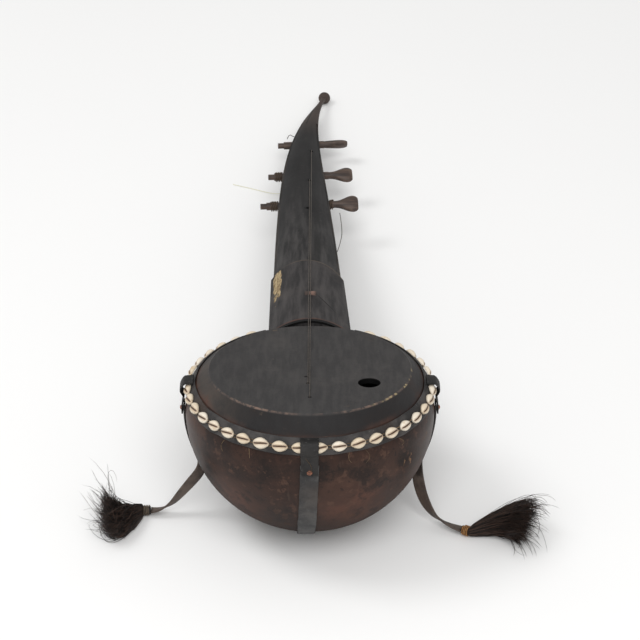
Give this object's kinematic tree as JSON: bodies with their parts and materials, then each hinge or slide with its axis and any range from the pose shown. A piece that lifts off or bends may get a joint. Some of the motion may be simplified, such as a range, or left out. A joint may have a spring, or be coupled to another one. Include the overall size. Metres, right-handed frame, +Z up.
{
  "type": "gourd lute",
  "caption": "Long-necked folk lute: hollow gourd bowl with a wooden soundboard, hollow neck with turning friction pegs, cowrie rim band and hair tassels.",
  "frame": {"origin": "middle of the flat that the strap under the gourd rests on", "axes": "+Z up, +Y along the neck towards its tip, +X towards the peg heads"},
  "size_m": [0.4498, 0.9516, 0.1869],
  "materials": {
    "gourd_skin": "dark polished gourd skin",
    "board_wood": "blackened worn wood",
    "neck_wood": "blackened worn wood",
    "collar_hide": "blackened hide, worn at the edge",
    "pale_wood": "bare wood",
    "peg_wood": "dark worn wood",
    "string_wire": "dull wire",
    "thread": "twisted thread",
    "leather": "worn dark leather",
    "shell": "polished shell",
    "rivet_iron": "rusty iron",
    "hair": "dark horse hair"
  },
  "bodies": {
    "root": {"gourd_bowl": "gourd_skin", "soundboard": "board_wood", "neck_back": "neck_wood", "neck_front": "neck_wood", "neck_collar": "collar_hide", "heel_block": "neck_wood", "heel_pins": "neck_wood", "nut": "pale_wood", "string_first": "string_wire", "string_second": "string_wire", "string_toggles": "pale_wood", "rim_band": "leather", "cowries": "shell", "front_strap": "leather", "left_strap": "leather", "right_strap": "leather", "front_tab": "leather", "left_tab": "leather", "right_tab": "leather", "tab_rivets": "rivet_iron", "left_free_strap": "leather", "right_free_strap": "leather", "left_binding": "thread", "right_binding": "thread", "left_tassel": "hair", "right_tassel": "hair", "wire_left": "string_wire", "wire_right": "string_wire", "thread": "thread"},
    "upper_peg": {"peg_upper": "peg_wood", "winding_upper": "string_wire"},
    "middle_peg": {"peg_middle": "peg_wood", "winding_middle": "string_wire", "wrap_middle_tail": "thread"},
    "lower_peg": {"peg_lower": "peg_wood", "wrap_lower_tail": "thread", "wrap_lower_head": "thread"}
  },
  "joints": [
    {"name": "upper_peg_turn", "type": "hinge", "parent": "root", "child": "upper_peg", "pos_m": [-0.00695, 0.66998, 0.0264], "axis": [0.9962, 0.0856, -0.0166], "continuous": true},
    {"name": "middle_peg_turn", "type": "hinge", "parent": "root", "child": "middle_peg", "pos_m": [-0.00936, 0.57323, 0.04226], "axis": [0.9962, 0.0856, -0.0166], "continuous": true},
    {"name": "lower_peg_turn", "type": "hinge", "parent": "root", "child": "lower_peg", "pos_m": [-0.00847, 0.48551, 0.0574], "axis": [0.9962, 0.0856, -0.0166], "continuous": true}
  ]
}
